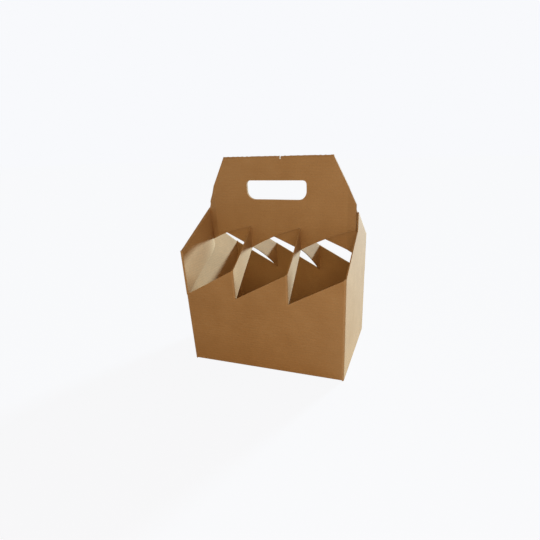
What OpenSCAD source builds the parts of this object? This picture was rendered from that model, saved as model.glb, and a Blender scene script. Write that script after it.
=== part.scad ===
// Carry box for six bottles, folded and glued from one sheet of fine-fluted kraft board.
// Front and back panels have a sawtooth top edge, the end walls climb to the middle, the floor is closed.
// Straps fold back from the teeth and join the two plies of the handle, which stand back to back.
// Turned half a turn about the upright axis the outer box looks the same. The straps of the front and of
// the back meet the handle at the same places.
// Millimetres. +Z is up, the front is at -Y, the origin is the middle of the underside.

/* [Board] */
// Thickness of the fluted board
board_t = 1.5; // [1.2:0.1:2]
// Outside radius of a folded corner
fold_r = 2.5; // [2.2:0.1:3.5]

/* [Outer box] */
// Width over the end walls
body_w = 200; // [190:1:220]
// Depth over the front and back panels
body_d = 144; // [136:1:156]
// Height of the sawtooth troughs
trough_h = 90.7; // [80:0.1:96]
// Height of the sawtooth peaks
peak_h = 126.2; // [120:0.1:130]
// Height of an end wall where it meets the lower half of the handle web
rise_h = 165; // [158:0.5:170]
// Height of an end wall at its highest point
shoulder_h = 186; // [180:0.5:190]
// Height of the high end wall at the corner
corner_h = 146.3; // [136:0.1:152]

/* [Handle web] */
// Height of the handle over the floor
handle_h = 248; // [240:0.5:260]
// Length of the straight top edge of the handle
handle_top_w = 139; // [120:1:150]
// Height where the free edge of a ply turns upright
free_shoulder_h = 194.5; // [188:0.5:198]
// Height of the slanted edge where it crosses the end fold of a ply
end_fold_h = 214.5; // [210:0.5:218]
// Distance from the end wall to the end fold of a ply
end_fold_in = 13.5; // [10:0.5:16]
// How far the end of the web runs off the middle plane
end_skew = 4; // [3:0.25:5]
// Room between the free end of a ply and the end wall
free_gap = 1.4; // [1:0.1:2.5]
// Hairline between the two plies below the top fold
ply_gap = 0.4; // [0.3:0.1:0.8]

/* [Hand hole] */
// Width of the hand hole
hole_w = 77.5; // [70:0.5:86]
// Sideways offset of the hand hole
hole_x = -1.8; // [-4:0.1:4]
// Height of the hand hole
hole_h = 22.5; // [18:0.5:26]
// Height of the lower edge of the hand hole
hole_z = 198; // [194:0.5:204]
// Corner radius at the lower edge of the hand hole
hole_low_r = 10.5; // [6:0.5:11]
// Corner radius at the upper edge of the hand hole
hole_top_r = 4.5; // [3:0.5:6]
// Distance of the small nick in the top edge from the middle
nick_x = 5; // [2:0.5:12]
// Width of the nick
nick_w = 1.5; // [1:0.1:2.5]
// Depth of the nick
nick_d = 3.5; // [2.5:0.1:5]

/* [Straps] */
// Top of the fold where a divider leaves the ply
root_top_h = 164.5; // [160:0.5:168]
// Foot of the fold where a divider leaves the ply
root_foot_h = 136.5; // [133:0.5:140]
// Sideways step of a divider between the panel and the ply
strap_shift = 6; // [3:0.5:8]
// Upward bow of the cuts along the foot of the front ply
cut_bow = 2.3; // [1:0.1:3.5]
// Upward bow of the cuts along the foot of the back ply
back_cut_bow = 0.4; // [0.2:0.1:2]
// Foot of the front ply at its end wall
end_cut_h = 144.5; // [142:0.5:150]
// Foot of the back ply at its end wall
back_end_cut_h = 135; // [132:0.5:136]
// Upward bow of the lower edge of an end strap
end_bow = 4; // [2:0.25:5]
// How far two glued plies press into each other
glue_in = 0.15; // [0.1:0.05:0.3]
// Upward bow of the lower edge of a divider
strap_bow = 3.5; // [1:0.25:4.5]

/* [Hidden] */
$fn = 48;
// Spare length of cutting shapes
cut = 2;
// Straight pieces in a bowed cut
bow_n = 6;
half_w = body_w / 2;
half_d = body_d / 2;
half_t = board_t / 2;
// Inside faces of the end wall and of the panel
wall_in = half_w - board_t;
panel_in = half_d - board_t;
// Distance between dividers
pitch = body_w / 3;
// Thickness of the bottom, two plies on each other
floor_t = 2 * board_t;
// Middle of a ply, of an end strap and of the front panel
ply_y = -(ply_gap / 2 + half_t);
end_x = -(wall_in - half_t + glue_in);
panel_y = -(half_d - half_t);
// End folds of a ply seen from above: left is joined to the end strap, right is free
fold_x = half_w - end_fold_in;
free_x = wall_in - free_gap;
left_end = [end_x, ply_y + end_skew];
left_fold = [-fold_x, ply_y];
right_fold = [fold_x, ply_y];
right_end = right_fold + left_fold - left_end;
// Where the corner folds end on the end walls
corner_y = half_d - fold_r;
// Crest of the fold along the top edge
fold_tube_r = board_t + ply_gap / 2;
handle_top = handle_h - fold_tube_r;
fronts = [-pitch / 2, pitch / 2];
cell_rise = (peak_h - trough_h) / pitch;

// Points between two ends of a cut that bows upward
function bowed(a, b, h) = [
    for (i = [1:bow_n - 1])
        let (k = i / bow_n)
        a + (b - a) * k + [0, 4 * h * k * (1 - k)]
];

// Where the dividers leave the ply, for a given sideways step
function roots(shift) = [-pitch / 2 - shift, pitch / 2 - shift];

// The front half and the same half turned to the back
module both_halves() {
    children();
    rotate(180)
        children();
}

// A sheet outline given as [across, height], standing along X
module stand_x(points) {
    rotate([90, 0, 0])
        linear_extrude(height = 2 * body_d, center = true)
            polygon(points);
}

// A sheet outline given as [depth, height], standing along Y
module stand_y(points) {
    rotate([90, 0, 90])
        linear_extrude(height = 2 * body_w, center = true)
            polygon(points);
}

// A run of board seen from above, reaching half its thickness past both ends
module run(a, b) {
    along = b - a;
    translate(a)
        rotate(atan2(along[1], along[0]))
            translate([-half_t, -half_t])
                square([norm(along) + board_t, board_t]);
}

// Sideways step from a fold to its mitred edge, for board that comes from a, folds at b and goes on to c
function side_of(a, b) = let (along = (b - a) / norm(b - a)) [-along[1], along[0]];
function mitre(a, b, c) =
    let (before = side_of(a, b), after = side_of(b, c))
    half_t * (before + after) / (1 + before * after);

// Plan of the outer box
module box_plan(w, d, r) {
    square([w - 2 * r, d], center = true);
    square([w, d - 2 * r], center = true);
    for (x = [-1, 1], y = [-1, 1])
        translate([x * (w / 2 - r), y * (d / 2 - r)])
            circle(r = r);
}

// Everything above the sawtooth edge of the front panel
module above_panel() {
    sky = shoulder_h + cut;
    intersection() {
        stand_x([
            [-half_w - cut, trough_h - cell_rise * cut],
            [-pitch / 2, peak_h],
            [-pitch / 2, trough_h],
            [pitch / 2, peak_h],
            [pitch / 2, trough_h],
            [half_w, peak_h],
            [half_w + cut, peak_h],
            [half_w + cut, sky],
            [-half_w - cut, sky]
        ]);
        translate([-body_w, -half_d - cut, 0])
            cube([2 * body_w, cut + fold_r, 2 * shoulder_h]);
    }
}

// Everything above the right end wall: the front half climbs to the web, the back half starts higher
module above_end() {
    sky = shoulder_h + cut;
    intersection() {
        stand_y([
            [-corner_y, peak_h],
            [-end_skew, rise_h],
            [-end_skew, shoulder_h],
            [corner_y, corner_h],
            [corner_y, sky],
            [-corner_y, sky]
        ]);
        translate([wall_in - cut, -body_d, 0])
            cube([board_t + 2 * cut, 2 * body_d, 2 * shoulder_h]);
    }
}

// The sharp edge under the front panel, taken off where the sheet folds into the bottom
module bottom_edge() {
    difference() {
        translate([-body_w, -half_d - cut, -cut])
            cube([2 * body_w, cut + fold_r, cut + fold_r]);
        translate([0, fold_r - half_d, fold_r])
            rotate([0, 90, 0])
                cylinder(r = fold_r, h = 3 * body_w, center = true);
    }
}

// Panels, end walls and bottom
module box_shell() {
    difference() {
        linear_extrude(height = shoulder_h)
            box_plan(body_w, body_d, fold_r);
        translate([0, 0, floor_t])
            linear_extrude(height = shoulder_h)
                box_plan(2 * wall_in, 2 * panel_in, fold_r - board_t);
        both_halves() {
            above_panel();
            above_end();
            bottom_edge();
        }
    }
}

// Outline of a ply: lower edge from left to right, then round over the top
module ply_outline(shift, end_h, bow) {
    root = roots(shift);
    foot_l = [end_x, end_h];
    stand_x(concat(
        [[-half_w, end_h], foot_l],
        bowed(foot_l, [root[0], root_top_h], bow),
        [[root[0], root_top_h], [root[0], root_foot_h]],
        bowed([root[0], root_foot_h], [root[1], root_top_h], bow),
        [[root[1], root_top_h], [root[1], root_foot_h]],
        bowed([root[1], root_foot_h], [free_x, rise_h], bow),
        [[free_x, rise_h],
         [free_x, free_shoulder_h],
         [handle_top_w / 2, handle_top],
         [-handle_top_w / 2, handle_top],
         [-fold_x, end_fold_h],
         [end_x, shoulder_h],
         [-half_w, shoulder_h]]
    ));
}

module ply(shift, end_h, bow) {
    intersection() {
        linear_extrude(height = handle_h)
            polygon([
                left_end + half_t * side_of(left_end, left_fold),
                left_fold + mitre(left_end, left_fold, right_fold),
                right_fold + mitre(left_fold, right_fold, right_end),
                right_end + half_t * side_of(right_fold, right_end),
                right_end - half_t * side_of(right_fold, right_end),
                right_fold - mitre(left_fold, right_fold, right_end),
                left_fold - mitre(left_end, left_fold, right_fold),
                left_end - half_t * side_of(left_end, left_fold)
            ]);
        ply_outline(shift, end_h, bow);
    }
}

// Strap from the corner, folded flat onto the left end wall, back to the end of the ply
module end_strap() {
    foot = [left_end[1], root_foot_h];
    low = [-corner_y, trough_h];
    intersection() {
        linear_extrude(height = handle_h)
            run([end_x, -corner_y], left_end);
        stand_y(concat(
            [low],
            bowed(low, foot, end_bow),
            [foot,
             [end_skew, root_foot_h],
             [end_skew, shoulder_h],
             [-corner_y, corner_h]]
        ));
    }
}

// The fold at the corner that turns the end wall into the end strap
module corner_fold() {
    r = (half_w + end_x + half_t) / 2;
    translate([0, 0, trough_h])
        linear_extrude(height = corner_h - trough_h) {
            translate([r - half_w, r - half_d])
                circle(r = r);
            translate([-half_w, r - half_d])
                square([2 * r, fold_r - r]);
        }
}

// Divider from its tooth on the front panel back to the ply
module divider(k, shift) {
    root = [roots(shift)[k], ply_y];
    front = [fronts[k], panel_y];
    low = [-panel_in, trough_h - board_t];
    foot = [ply_y, root_foot_h];
    intersection() {
        linear_extrude(height = handle_h)
            run(root, front);
        stand_y(concat(
            [[-half_d, low[1]], low],
            bowed(low, foot, strap_bow),
            [foot,
             [0, root_foot_h],
             [0, root_top_h],
             [ply_y, root_top_h],
             [-panel_in, peak_h],
             [-half_d, peak_h]]
        ));
    }
}

// Fold along the top edge that joins the two plies
module top_fold() {
    difference() {
        translate([0, 0, handle_top])
            rotate([0, 90, 0])
                cylinder(r = fold_tube_r, h = handle_top_w, center = true);
        translate([-body_w, -body_d, handle_top - 2 * fold_tube_r])
            cube([2 * body_w, 2 * body_d, 2 * fold_tube_r]);
        translate([0, 0, handle_top])
            rotate([0, 90, 0])
                cylinder(r = ply_gap / 2, h = 2 * body_w, center = true);
    }
}

// Outline of the hand hole, rounder at the lower edge
module hole_plan() {
    square_w = hole_w - 2 * hole_top_r;
    low_w = hole_w - 2 * hole_low_r;
    translate([-square_w / 2, hole_low_r])
        square([square_w, hole_h - hole_low_r]);
    translate([-hole_w / 2, hole_low_r])
        square([hole_w, hole_h - hole_low_r - hole_top_r]);
    translate([-low_w / 2, 0])
        square([low_w, hole_h]);
    for (x = [-1, 1]) {
        translate([x * low_w / 2, hole_low_r])
            circle(r = hole_low_r);
        translate([x * square_w / 2, hole_h - hole_top_r])
            circle(r = hole_top_r);
    }
}

// Hand hole and nick, through both plies
module handle_cuts() {
    translate([hole_x, 0, hole_z])
        rotate([90, 0, 0])
            linear_extrude(height = body_d / 2, center = true)
                hole_plan();
    translate([nick_x - nick_w / 2, -body_d / 2, handle_h - nick_d])
        cube([nick_w, body_d, 2 * nick_d]);
}

// A ply with its end strap and its two dividers
module handle_half(shift, end_h, bow) {
    ply(shift, end_h, bow);
    end_strap();
    corner_fold();
    divider(0, shift);
    divider(1, shift);
}

module bottle_carrier() {
    color([0.62, 0.45, 0.27])
        difference() {
            union() {
                box_shell();
                handle_half(strap_shift, end_cut_h, cut_bow);
                rotate(180)
                    handle_half(-strap_shift, back_end_cut_h, back_cut_bow);
                top_fold();
            }
            handle_cuts();
        }
}

bottle_carrier();
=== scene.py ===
import bmesh
import bpy
import numpy as np
from mathutils import Matrix


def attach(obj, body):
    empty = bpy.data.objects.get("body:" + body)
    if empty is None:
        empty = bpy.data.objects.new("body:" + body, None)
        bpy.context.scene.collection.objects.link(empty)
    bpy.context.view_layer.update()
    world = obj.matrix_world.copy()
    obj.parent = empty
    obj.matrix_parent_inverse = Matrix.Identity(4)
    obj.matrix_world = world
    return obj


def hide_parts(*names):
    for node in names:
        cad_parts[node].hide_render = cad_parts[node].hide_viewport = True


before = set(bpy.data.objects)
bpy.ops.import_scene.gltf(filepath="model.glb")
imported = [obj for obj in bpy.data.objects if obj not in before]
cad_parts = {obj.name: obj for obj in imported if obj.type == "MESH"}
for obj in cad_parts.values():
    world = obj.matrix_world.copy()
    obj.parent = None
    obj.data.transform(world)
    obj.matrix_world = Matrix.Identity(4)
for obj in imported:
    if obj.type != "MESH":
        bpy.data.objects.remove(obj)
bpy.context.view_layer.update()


# Outer walls of the carrier: one band of fine-fluted kraft board, creased at the four corners and glued shut.
# Front and back have a die-cut sawtooth edge, and the end walls climb to the handle. Lengths are millimetres.
mm = 0.001
grid_mm = 4.0
board_t = 1.5
half_w, half_d, corner_r = 100.0, 72.0, 2.5
trough, peak, rise, shoulder, corner_top = 90.7, 126.2, 165.0, 186.0, 146.3
tooth = 2 * half_w / 6
panel_y, wall_x = half_d - board_t / 2, half_w - board_t / 2
step_y, cut_w, fold_reach = 4.0, 0.3, 1.31
tooth_end = tooth + fold_reach
panel_swell, wall_swell = 0.5, 0.8
level_room = 2.0


def linear(hex_colour):
    """sRGB hex to linear RGBA: the piecewise sRGB curve on each channel."""
    c = np.array([int(hex_colour[i:i + 2], 16) for i in (1, 3, 5)]) / 255
    c = np.where(c <= 0.04045, c / 12.92, ((c + 0.055) / 1.055) ** 2.4)
    return (*c.tolist(), 1.0)


def add(tree, kind, links=None, **settings):
    """Adds a node. A setting named in0, in1 and so on fills that input, one that names an input fills it too,
    and any other sets the node itself. Links feed inputs by name or number."""
    node = tree.nodes.new(kind)
    for name, value in settings.items():
        if name[:2] == "in" and name[2:].isdigit():
            node.inputs[int(name[2:])].default_value = value
        elif name in node.inputs:
            node.inputs[name].default_value = value
        else:
            setattr(node, name, value)
    for name, source in (links or {}).items():
        tree.links.new(source, node.inputs[name])
    return node


def kraft_board():
    """Unbleached kraft liner on fine flutes: matt brown paper, cloudy in tone, with long fibres and dark specks.

    The liner dips between flutes. The shade of the dips is painted into the colour as faint level lines, and the
    relief draws them too. Folds and edges are rubbed paler, and a cut edge shows the wavy paper between the two
    liners, with painted shade in the hollows between the flutes. Fibres and specks are drawn coarser than life to
    show.
    """
    flute_mm, cloud_mm, fibre_mm, speck_mm = 3.3, 34.0, 0.8, 2.0
    flute_shade, flute_swing, fibre_relief, relief_m = 0.012, 0.34, 1.5, 0.00012
    mat = bpy.data.materials.new("kraft_liner_board")
    mat.use_nodes = True
    tree = mat.node_tree
    tree.nodes.clear()
    place = add(tree, "ShaderNodeTexCoord").outputs["Object"]
    across = add(tree, "ShaderNodeAttribute", attribute_name="across").outputs["Fac"]
    rubbed = add(tree, "ShaderNodeAttribute", attribute_name="rubbed").outputs["Fac"]

    cloud = add(tree, "ShaderNodeTexNoise", {"Vector": place}, Scale=1000 / cloud_mm, Detail=5.0)
    lie = add(tree, "ShaderNodeMapping", {"Vector": place}, Scale=(0.5, 0.5, 1.0))
    fibre = add(tree, "ShaderNodeTexNoise", {"Vector": lie.outputs[0]}, Scale=1000 / fibre_mm, Detail=4.0)
    speck = add(tree, "ShaderNodeTexNoise", {"Vector": place}, Scale=1000 / speck_mm, Detail=2.0)
    height = add(tree, "ShaderNodeSeparateXYZ", {"Vector": place}).outputs["Z"]
    phase = add(tree, "ShaderNodeMath", {0: height}, operation="MULTIPLY", in1=2000 * np.pi / flute_mm)
    flute = add(tree, "ShaderNodeMath", {0: phase.outputs[0]}, operation="SINE").outputs[0]

    tone = add(tree, "ShaderNodeValToRGB", {"Fac": cloud.outputs["Fac"]})
    tone.color_ramp.elements[0].position = 0.3
    tone.color_ramp.elements[0].color = linear("#B28D5E")
    tone.color_ramp.elements[1].position = 0.7
    tone.color_ramp.elements[1].color = linear("#BC9869")
    thread = add(tree, "ShaderNodeMapRange", {"Value": fibre.outputs["Fac"]}, in1=0.3, in2=0.7, in3=0.9, in4=1.1)
    # Painted shade: the flute wave darkens the liner colour faintly in level lines where the liner dips. The fibre
    # term is the paper's own grain.
    shade = add(tree, "ShaderNodeMath", {0: flute, 2: thread.outputs[0]}, operation="MULTIPLY_ADD",
                in1=flute_shade)
    liner = add(tree, "ShaderNodeVectorMath", {0: tone.outputs["Color"], "Scale": shade.outputs[0]},
                operation="SCALE")
    dot = add(tree, "ShaderNodeMapRange", {"Value": speck.outputs["Fac"]}, in1=0.7, in2=0.78, in3=0.0, in4=0.5)
    dotted = add(tree, "ShaderNodeMix", {0: dot.outputs[0], 6: liner.outputs[0]}, data_type="RGBA",
                 in7=linear("#6A4826"))
    wear = add(tree, "ShaderNodeMath", {0: rubbed, 1: fibre.outputs["Fac"]}, operation="MULTIPLY")
    pale = add(tree, "ShaderNodeMix", {0: wear.outputs[0], 6: dotted.outputs[2]}, data_type="RGBA",
               in7=linear("#D2B284"))

    # Painted shade: on a cut edge the hollows between the flutes are painted dark brown (#8C6A40), and the wavy
    # paper is pale (#C4A273).
    wave = add(tree, "ShaderNodeMath", {0: flute}, operation="MULTIPLY_ADD", in1=flute_swing, in2=0.5)
    off = add(tree, "ShaderNodeMath", {0: across, 1: wave.outputs[0]}, operation="SUBTRACT")
    off = add(tree, "ShaderNodeMath", {0: off.outputs[0]}, operation="ABSOLUTE")
    paper = add(tree, "ShaderNodeMapRange", {"Value": off.outputs[0]}, in1=0.1, in2=0.2, in3=1.0, in4=0.0)
    edge_paper_and_hollow_shade = add(tree, "ShaderNodeMix", {0: paper.outputs[0]}, data_type="RGBA", in6=linear("#8C6A40"),
               in7=linear("#C4A273"))
    side = add(tree, "ShaderNodeMath", {0: across}, operation="SUBTRACT", in1=0.5)
    side = add(tree, "ShaderNodeMath", {0: side.outputs[0]}, operation="ABSOLUTE")
    inside = add(tree, "ShaderNodeMapRange", {"Value": side.outputs[0]}, in1=0.3, in2=0.36, in3=1.0, in4=0.0)
    colour = add(tree, "ShaderNodeMix", {0: inside.outputs[0], 6: pale.outputs[2], 7: edge_paper_and_hollow_shade.outputs[2]},
                 data_type="RGBA")

    relief = add(tree, "ShaderNodeMath", {0: fibre.outputs["Fac"], 2: flute}, operation="MULTIPLY_ADD",
                 in1=fibre_relief)
    bump = add(tree, "ShaderNodeBump", {"Height": relief.outputs[0]}, Strength=0.25, Distance=relief_m)
    shader = add(tree, "ShaderNodeBsdfPrincipled", {"Base Color": colour.outputs[2], "Normal": bump.outputs[0]},
                 Roughness=0.85, IOR=1.45)
    add(tree, "ShaderNodeOutputMaterial", {"Surface": shader.outputs[0]})
    return mat


def board(line, low, high, rub=0.0, bow=None, step=grid_mm, edges=(1, 1), closed=False, level=False,
          even_to=None):
    """A sheet that stands on a line. Column i runs from low to high at point i of the line, and each face lies
    half the thickness off along the line's normal. Bow adds a shift along the normal, a function of point and
    height. Edges mark the foot and the crest: 1 is a cut edge, pressed thinner, 0 a plain edge, and -1 a seam to
    the next sheet. Rows are level up to even_to. Level sheets stand along X on a line in Y and Z.
    Returns points, quads, the share across the thickness and the rubbed mark."""
    lip_h, lip_share, press, fold_wear = 0.8, 0.3, 0.1, 0.7
    n = len(line)
    low, high, rub, foot, crest = [np.broadcast_to(v, n)[:, None] for v in (low, high, rub, *edges)]
    lip = np.minimum(lip_h, lip_share * (high - low))
    parts = [low + lip, high - lip] if even_to is None else [low + lip, np.full((n, 1), even_to), high - lip]
    rows = [low]
    for a, b in zip(parts, parts[1:]):
        rows.append(a + (b - a) * np.arange(0, 1, 1 / max(3, int((b - a).max() / step))))
    z = np.concatenate(rows + [high - lip, high], 1)
    m = z.shape[1]
    along = np.gradient(line, axis=0)
    if closed:
        along[[0, -1]] = line[1] - line[-2]
    along = along / np.linalg.norm(along, axis=1, keepdims=True)
    normal = np.stack([along[:, 1], -along[:, 0]], 1)[:, None, :]
    worn = np.repeat(rub * fold_wear, m, 1)
    half = np.full((n, m), board_t / 2)
    for row, edge in ((0, foot[:, 0]), (-1, crest[:, 0])):
        worn[:, row] = np.maximum(worn[:, row], np.clip(edge, 0, 1))
        half[:, row] -= press * np.clip(edge, 0, 1)
    shift = 0.0 if bow is None else bow(np.repeat(line[:, None, :], m, 1), z)
    faces = [line[:, None, :] + normal * (shift + side * half)[:, :, None] for side in (1, -1)]
    points = np.stack([np.concatenate([f, z[:, :, None]], 2) for f in faces])
    if level:
        points = np.roll(points, 1, axis=3)

    a = np.arange(n * m).reshape(n, m)
    b = a + n * m
    shut_foot, shut_crest = [(np.maximum(e[:-1], e[1:]) >= 0)[:, 0] for e in (foot, crest)]
    quads = [np.stack([a[:-1, :-1], a[1:, :-1], a[1:, 1:], a[:-1, 1:]], -1).reshape(-1, 4),
             np.stack([b[:-1, :-1], b[:-1, 1:], b[1:, 1:], b[1:, :-1]], -1).reshape(-1, 4),
             np.stack([a[:-1, 0], b[:-1, 0], b[1:, 0], a[1:, 0]], -1)[shut_foot],
             np.stack([a[:-1, -1], a[1:, -1], b[1:, -1], b[:-1, -1]], -1)[shut_crest]]
    if not closed:
        quads += [np.stack([a[0, :-1], a[0, 1:], b[0, 1:], b[0, :-1]], -1),
                  np.stack([a[-1, :-1], b[-1, :-1], b[-1, 1:], a[-1, 1:]], -1)]
    return points.reshape(-1, 3), np.concatenate(quads), np.repeat([0.0, 1.0], n * m), np.tile(worn.ravel(), 2)


def put(name, data):
    """Links a new object, which stays at the origin unless it is moved."""
    obj = bpy.data.objects.new(name, data)
    bpy.context.collection.objects.link(obj)
    return obj


def piece(name, sheets):
    """One mesh object from sheets. Points that fall together are merged."""
    weld_m, sharp_degrees = 1e-7, 40
    firsts = np.cumsum([0] + [len(s[0]) for s in sheets])
    mesh = bpy.data.meshes.new(name)
    mesh.from_pydata((np.concatenate([s[0] for s in sheets]) * mm).tolist(), [],
                     np.concatenate([s[1] + f for s, f in zip(sheets, firsts)]).tolist())
    for key, at in (("across", 2), ("rubbed", 3)):
        mark = np.concatenate([s[at] for s in sheets])
        mesh.attributes.new(key, "FLOAT", "POINT").data.foreach_set("value", mark)
    work = bmesh.new()
    work.from_mesh(mesh)
    bmesh.ops.remove_doubles(work, verts=work.verts, dist=weld_m)
    work.to_mesh(mesh)
    work.free()
    mesh.polygons.foreach_set("use_smooth", np.ones(len(mesh.polygons), bool))
    mesh.set_sharp_from_angle(angle=np.radians(sharp_degrees))
    mesh.materials.append(liner_board)
    obj = put(name, mesh)
    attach(obj, "root")
    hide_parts("bottle_carrier")


def spread(keys, step=grid_mm):
    """Places along a run: every key, and even steps between keys."""
    keys = np.sort(np.array(keys, float))
    parts = [np.linspace(a, b, max(2, int((b - a) / step) + 1))[:-1] for a, b in zip(keys, keys[1:])]
    return np.concatenate(parts + [keys[-1:]])


def wall_bow(point, z):
    """Card walls swell a little between the corners: a half wave across, a half wave up to the troughs."""
    lift = np.sin(np.pi * np.clip(z / trough, 0, 1))
    front = np.abs(point[..., 1]) > half_d - corner_r
    part = np.where(front, point[..., 0] / half_w, point[..., 1] / half_d)
    return np.where(front, panel_swell, wall_swell) * lift * np.cos(np.pi / 2 * np.clip(part, -1, 1))


liner_board = kraft_board()
run_x, run_y = half_w - corner_r, half_d - corner_r
slope = (peak - trough) / (2 * tooth)
tip = peak - slope * fold_reach
front_keys = np.array([-half_w, -tooth_end, -tooth_end + cut_w, -tooth, tooth - fold_reach,
                       tooth - fold_reach + cut_w, tooth, half_w])
front_tops = np.array([trough, tip, trough, trough, tip, trough, trough, peak])
front_x = spread([-run_x, *front_keys[1:-1], run_x])
end_keys = [-run_y, -step_y - cut_w, -step_y, run_y - cut_w, run_y]
end_tops = [peak, rise, shoulder, corner_top, trough]
end_y = spread(end_keys)
quarter = np.linspace(0, np.pi / 2, 8)[1:-1]
mid_r = corner_r - board_t / 2
half_line = np.concatenate([
    np.stack([front_x, np.full_like(front_x, -panel_y)], 1),
    np.stack([run_x + mid_r * np.sin(quarter), -run_y - mid_r * np.cos(quarter)], 1),
    np.stack([np.full_like(end_y, wall_x), end_y], 1),
    np.stack([run_x + mid_r * np.cos(quarter), run_y + mid_r * np.sin(quarter)], 1)])
half_top = np.concatenate([
    np.interp(front_x, front_keys, front_tops), np.full_like(quarter, peak),
    np.interp(end_y, end_keys, end_tops), np.full_like(quarter, trough)])
half_foot = np.concatenate([np.full_like(front_x, corner_r), np.zeros(2 * len(quarter) + len(end_y))])
half_rub = np.concatenate([np.zeros_like(front_x), np.ones_like(quarter), np.zeros_like(end_y),
                           np.ones_like(quarter)])
ring = np.concatenate([half_line, -half_line, half_line[:1]])
ring_top, ring_foot, ring_rub = [np.concatenate([v, v, v[:1]]) for v in (half_top, half_foot, half_rub)]
piece("carrier_walls", [board(ring, ring_foot, ring_top, ring_rub, wall_bow, closed=True,
                              even_to=trough - level_room)])


# Bottom of the carrier: the front and back panels fold under and are glued flat on each other, two plies thick.
# The folds along both long edges are round.
bottom_room = 1.0
bottom_half = wall_x - bottom_room


def folded(points, radii, step=grid_mm):
    """Line of a folded sheet seen end on. Straight runs join the points, and each inner point gives way to an
    arc of its radius, tangent to both runs. A point that repeats the one before it is left out. Returns the line
    and a mark that is 1 on the arcs."""
    least_mm = 1e-6
    points = [np.array(p, float) for p in points]
    runs, marks, start = [], [], points[0]
    for before, at, after, radius in zip(points, points[1:], points[2:], radii):
        back, on = [(p - at) / np.linalg.norm(p - at) for p in (before, after)]
        turn = np.arccos(back @ on)
        first, last = at + back * radius / np.tan(turn / 2), at + on * radius / np.tan(turn / 2)
        centre = at + (back + on) / np.linalg.norm(back + on) * radius / np.sin(turn / 2)
        arm = first - centre
        bend = np.sign(arm[0] * (last - centre)[1] - arm[1] * (last - centre)[0])
        angle = np.linspace(0, np.pi - turn, 8)[:, None]
        arc = centre + np.cos(angle) * arm + bend * np.sin(angle) * np.array([-arm[1], arm[0]])
        count = max(2, int(np.linalg.norm(first - start) / step) + 1)
        runs += [np.linspace(start, first, count)[:-1], arc[:-1]]
        marks += [np.zeros(count - 1), np.ones(len(arc) - 1)]
        start = last
    count = max(2, int(np.linalg.norm(points[-1] - start) / step) + 1)
    runs.append(np.linspace(start, points[-1], count))
    marks.append(np.zeros(count))
    line, marks = np.concatenate(runs), np.concatenate(marks)
    apart = np.append(True, np.linalg.norm(np.diff(line, axis=0), axis=1) > least_mm)
    return line[apart], marks[apart]


under, under_rub = folded([(-panel_y, corner_r), (-panel_y, board_t / 2), (panel_y, board_t / 2),
                           (panel_y, corner_r)], [mid_r, mid_r])
inner_y = spread([bottom_room - panel_y, panel_y - bottom_room])
inner = np.stack([inner_y, np.full_like(inner_y, 1.5 * board_t)], 1)
piece("carrier_bottom", [board(under, -bottom_half, bottom_half, under_rub, level=True),
                         board(inner, -bottom_half, bottom_half, level=True)])


# Handle: two plies of the same board, back to back under the fold of the top edge. Each ply turns at one end
# into a strap that is glued to the end wall and folds back at the corner, with its lower edge a little off the
# wall; the other end stands free.
fine_mm = 3.0
ply_y, strap_x, bend_x, free_x, skew = -0.95, -97.9, 86.5, 97.1, step_y
handle_top, top_half, end_fold, free_top = 246.3, 69.5, 214.5, 194.5
root_top, root_foot, root_shift = 164.5, 136.5, 6.0
front_cut, back_cut, front_bulge, back_bulge = 144.5, 135.0, 2.3, 0.4
hole_half, hole_low, hole_high, low_r, high_r = 38.75, 198.0, 220.5, 10.5, 4.5
hole_split = (hole_low + low_r + hole_high - high_r) / 2
hole_at, nick_at = -1.8, 5.0
nick_half, nick_deep, nip = 0.75, 1.8, 0.05
band_least = 12.0
bend_reach, bend_soft = 1.2, 0.1
bend_rub, free_rub, rub_w = 0.5, 0.2, 0.5
wave_h, wave_fade = 0.5, 60.0
strap_r, strap_bulge, strap_short = 0.6, 4.0, 1.0
strap_off, strap_fade = 8.5, 36.0


def turned(sheet):
    """The same sheet half a turn about Z: X and Y change sign."""
    return (sheet[0] * [-1, -1, 1], *sheet[1:])


def bowed(at, start, end, low, high, bulge):
    """A cut from low to high that bows upward: a straight rise and a parabola of the given bulge."""
    k = np.clip((at - start) / (end - start), 0, 1)
    return low + (high - low) * k + 4 * bulge * k * (1 - k)


def ply_bow(point, z):
    """The handle is not quite flat: one full wave along it, which both plies share, fading at ends and top."""
    x = point[..., 0] / bend_x
    ends, top = np.clip(1 - np.abs(x), 0, 1), np.clip((handle_top - z) / wave_fade, 0, 1)
    return wave_h * np.sin(np.pi * x) * ends * top


def strap_swell(point, z):
    """The strap swells off the end wall between its ends: s (1 - s^4) along it, none at its top edge."""
    s = np.clip((point[..., 1] + run_y) / (run_y + ply_y + skew), 0, 1)
    top = corner_top + (shoulder - corner_top) * s
    return strap_off * s * (1 - s ** 4) * np.clip((top - z) / strap_fade, 0, 1)


def end_strap():
    """The strap runs from the corner fold along the end wall. Its lower edge bows up, its top follows the wall."""
    line, rub = folded([(-wall_x, -run_y), (-wall_x, -panel_y), (strap_x, -panel_y),
                        (strap_x, ply_y + skew - strap_short)], [strap_r, strap_r])
    low = bowed(line[:, 1], -run_y, ply_y + skew, trough, root_foot, strap_bulge)
    high = np.interp(line[:, 1], [-run_y, skew], [corner_top, shoulder])
    return board(line, low, high, rub, strap_swell)


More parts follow.
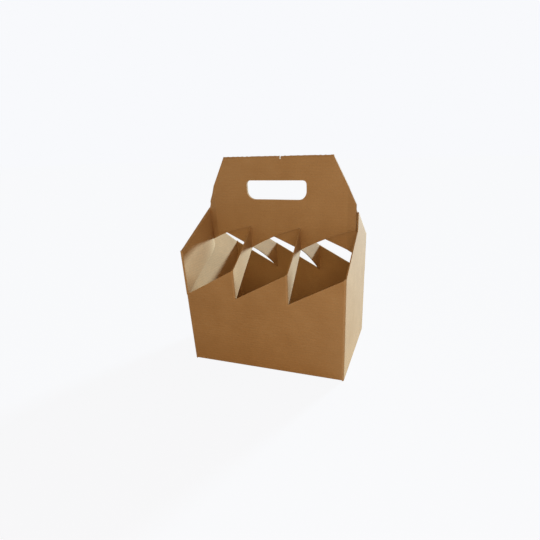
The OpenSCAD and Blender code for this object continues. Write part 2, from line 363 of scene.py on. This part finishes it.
def ply(roots, end_cut, bulge, hole_x, nick_x):
    """A ply in two bands that meet in a level line through the hand hole. Within the hole the lower band ends on
    its foot and the upper band starts on its top, both rounded by circles at the corners."""
    tooth_start = np.array(roots) + fold_reach
    low_round = hole_half - low_r + low_r * np.sin(np.linspace(0, np.pi / 2, 9))
    top_round = hole_half - high_r + high_r * np.sin(np.linspace(0, np.pi / 2, 7))
    hole_keys = np.concatenate([low_round, top_round, [hole_half + nip]])
    near_bend = bend_x + np.linspace(-bend_reach, bend_reach, 7)
    nick = nick_x + np.array([-nick_half - nip, -nick_half, nick_half, nick_half + nip])
    x = np.unique(np.round(spread(np.concatenate([
        hole_x + hole_keys, hole_x - hole_keys, tooth_start, tooth_start - cut_w, [-top_half, top_half], nick,
        near_bend, -near_bend, [strap_x, free_x]]), fine_mm), 4))
    past = np.abs(x) - bend_x
    off = skew / (-strap_x - bend_x) * 0.5 * (past + np.sqrt(past ** 2 + bend_soft))
    line = np.stack([x, ply_y - np.sign(x) * off], 1)
    foot = np.select(
        [x <= tooth_start[0] - cut_w, x < tooth_start[1] - cut_w / 2],
        [bowed(x, strap_x, roots[0], end_cut, root_top, bulge),
         bowed(x, roots[0], roots[1], root_foot, root_top, bulge)],
        bowed(x, roots[1], free_x, root_foot, rise, bulge))
    crest = np.interp(x, [strap_x, -bend_x, -top_half, *nick, top_half, free_x],
                      [shoulder, end_fold, handle_top, handle_top, handle_top - nick_deep, handle_top - nick_deep,
                       handle_top, handle_top, free_top])
    away = np.abs(x - hole_x)
    open_hole = away <= hole_half + nip / 2
    drop, lift = [np.sqrt(np.clip(r ** 2 - np.clip(away - hole_half + r, 0, None) ** 2, 0, None))
                  for r in (low_r, high_r)]
    meet = np.minimum(hole_split, crest - band_least)
    foot_band = np.where(open_hole, hole_low + low_r - drop, meet)
    crest_band = np.where(open_hole, hole_high - high_r + lift, meet)
    rub = np.where(x < 0, bend_rub, free_rub) * np.exp(-(past / rub_w) ** 2)
    cut_top = (np.abs(x) > top_half) | (np.abs(x - nick_x) < nick_half + 2 * nip)
    rim = np.where(open_hole, 1, -1)
    return [board(line, foot, foot_band, rub, ply_bow, fine_mm, (1, rim)),
            board(line, crest_band, crest, rub, ply_bow, fine_mm, (rim, cut_top * 1))]


front_roots = (-tooth - root_shift, tooth - root_shift)
back_roots = (root_shift - tooth, tooth + root_shift)
front_ply = ply(front_roots, front_cut, front_bulge, hole_at, nick_at)
back_ply = ply(back_roots, back_cut, back_bulge, -hole_at, -nick_at)
strap = end_strap()
piece("handle_plies", [strap, turned(strap), *front_ply, *[turned(sheet) for sheet in back_ply]])


# Fold along the top of the handle, perforated so that the two plies close flat: short slits with paper ties,
# and one deeper nick near the middle.
crest_r, crest_rub, slit_grid = -ply_y, 0.3, 1.2
slit_pitch, slit_deep, slit_vary = 7.0, 0.2, 0.18
over = np.linspace(0, np.pi, 13)
crest_line = np.stack([crest_r * np.cos(over), handle_top + crest_r * np.sin(over)], 1)


def slit_dip(point, z):
    """Slits of about 5 mm with ties of 2 mm: a steep wave of the slit pitch, cut off at 0 and 1, whose phase
    drifts. The crest dips where a slit is, and two slow waves make some slits deeper than others."""
    slit = np.clip(np.sin(2 * np.pi * z / slit_pitch + 1.4 * np.sin(z * 0.13)) * 3 + 1.2, 0, 1)
    deep = slit_deep + slit_vary * np.sin(z * 0.071 + 1.0) * np.sin(z * 0.19)
    return -deep * slit * np.clip((point[..., 1] - handle_top) / crest_r, 0, 1)


piece("handle_top_fold",
      [board(crest_line, -top_half, nick_at - nick_half, crest_rub, slit_dip, slit_grid, level=True),
       board(crest_line, nick_at + nick_half, top_half, crest_rub, slit_dip, slit_grid, level=True)])


# Dividers: four straps cut out of the same sheet. Each folds back from a tooth of the front or back panel, runs
# to the handle and folds into a ply there. The lower edge is a bowed cut.
fold_r, divider_bulge, belly = 1.2, 3.5, 0.9


def strap_sway(point, z):
    """A loose strap bellies a little to one side: half a wave along it."""
    return belly * np.sin(np.pi * np.clip(-point[..., 1] / half_d, 0, 1))


def divider(tooth_x, root_x):
    """A strap on a line from the tooth to the ply, round at both folds, with both edges climbing to the handle."""
    line, rub = folded([(tooth_x - fold_reach, -panel_y), (tooth_x, -panel_y), (root_x, ply_y),
                        (root_x + fold_reach, ply_y)], [fold_r, fold_r], fine_mm)
    low = bowed(line[:, 1], -half_d + board_t, ply_y, trough - board_t, root_foot, divider_bulge)
    high = np.interp(line[:, 1], [-half_d + board_t, ply_y], [peak, root_top])
    return board(line, low, high, rub, strap_sway)


piece("dividers", [divider(-tooth, front_roots[0]), divider(tooth, front_roots[1]),
                   turned(divider(-tooth, back_roots[0])), turned(divider(tooth, back_roots[1]))])


# Studio floor: a wide pale sheet under the carrier, which is no part of it. It is seen nearly white, because most
# of what the camera gets from it is a plain glow, and the rest keeps a faint shadow of the carrier.
floor_half_m, glow_share = 12.0, 0.93


def seen_directly(tree):
    """1 for rays from the camera and for mirrored rays, 0 for all others."""
    path = add(tree, "ShaderNodeLightPath")
    return add(tree, "ShaderNodeMath", {0: path.outputs["Is Camera Ray"], 1: path.outputs["Is Glossy Ray"]},
               operation="MAXIMUM").outputs[0]


floor_corners = [(x * floor_half_m, y * floor_half_m, 0) for x, y in ((-1, -1), (1, -1), (1, 1), (-1, 1))]
floor_mesh = bpy.data.meshes.new("studio_floor")
floor_mesh.from_pydata(floor_corners, [], [(0, 1, 2, 3)])
studio_floor = put("studio_floor", floor_mesh)
pale_sheet = bpy.data.materials.new("pale_studio_sheet")
pale_sheet.use_nodes = True
tree = pale_sheet.node_tree
tree.nodes.clear()
glow = add(tree, "ShaderNodeEmission", Color=linear("#FCFDFF"), Strength=1.0)
matt = add(tree, "ShaderNodeBsdfDiffuse", Color=linear("#E8E8EC"))
part = add(tree, "ShaderNodeMath", {0: seen_directly(tree)}, operation="MULTIPLY", in1=glow_share)
blend = add(tree, "ShaderNodeMixShader", {0: part.outputs[0], 1: matt.outputs[0], 2: glow.outputs[0]})
add(tree, "ShaderNodeOutputMaterial", {"Surface": blend.outputs[0]})
floor_mesh.materials.append(pale_sheet)


# Light: a low window behind the carrier on its right gives the bright walls and the soft edges of their shade.
# A small warm card beside the camera lights the front a little more on the right, and a dim warm fill comes
# from all round.
window_degrees, card_m = 9, 0.4


def placed(x, y, z, at):
    """Matrix whose columns are three unit axes and a place in metres."""
    turn = np.eye(4)
    turn[:3] = np.stack([x, y, z, at], 1)
    return Matrix(turn.tolist())


def lamp(name, kind, place, aim, energy, colour):
    """A lamp at a place in metres that shines on the aim: its Z axis is the unit vector from aim to place."""
    z = np.subtract(place, aim) / np.linalg.norm(np.subtract(place, aim))
    x = np.cross([0, 0, 1], z)
    x = x / np.linalg.norm(x)
    light = bpy.data.lights.new(name, kind)
    light.energy, light.color = energy, linear(colour)[:3]
    obj = put(name, light)
    obj.matrix_world = placed(x, np.cross(z, x), z, place)
    return obj


window = lamp("back_window", "SUN", (1.0, 2.2, 0.45), (0, 0, 0), 8.2, "#C8E6FC")
window.data.angle = np.radians(window_degrees)
card = lamp("front_card", "AREA", (0.25, -0.6, 0.4), (0, 0, 0.13), 1.0, "#FFD3A0")
card.data.shape, card.data.size = "DISK", card_m
card.visible_camera = False
world = bpy.data.worlds.new("studio")
bpy.context.scene.world = world
world.use_nodes = True
tree = world.node_tree
tree.nodes.clear()
fill = add(tree, "ShaderNodeBackground", Color=linear("#FFD9A8"), Strength=0.34)
backdrop = add(tree, "ShaderNodeBackground", Color=linear("#F8F9FC"), Strength=1.0)
blend = add(tree, "ShaderNodeMixShader", {0: seen_directly(tree), 1: fill.outputs[0], 2: backdrop.outputs[0]})
add(tree, "ShaderNodeOutputWorld", {"Surface": blend.outputs[0]})


# Camera: 36 mm wide film, at the place that was fitted to the photograph. It is turned left, tipped down and
# rolled a little, and the lens is shifted because the fitted centre lies off the middle of the picture.
film_mm, near_m = 36.0, 0.01
focal_px, frame_px, centre_px = 359.3, 540.0, (299.1, 299.4)
eye = (164.0, -424.1, 251.5)
yaw, pitch, roll = np.radians([18.32, 22.31, -1.48])
forward = np.array([-np.sin(yaw) * np.cos(pitch), np.cos(yaw) * np.cos(pitch), -np.sin(pitch)])
right = np.array([np.cos(yaw), np.sin(yaw), 0.0])
up = np.cross(right, forward)
right, up = np.cos(roll) * right + np.sin(roll) * up, np.cos(roll) * up - np.sin(roll) * right
lens = bpy.data.cameras.new("camera")
lens.sensor_width = film_mm
lens.lens = focal_px / frame_px * film_mm
lens.shift_x = (frame_px / 2 - centre_px[0]) / frame_px
lens.shift_y = (centre_px[1] - frame_px / 2) / frame_px
lens.clip_start = near_m
camera = put("camera", lens)
camera.matrix_world = placed(right, up, -forward, np.array(eye) * mm)
bpy.context.scene.camera = camera
bpy.context.scene.view_settings.view_transform = "Standard"
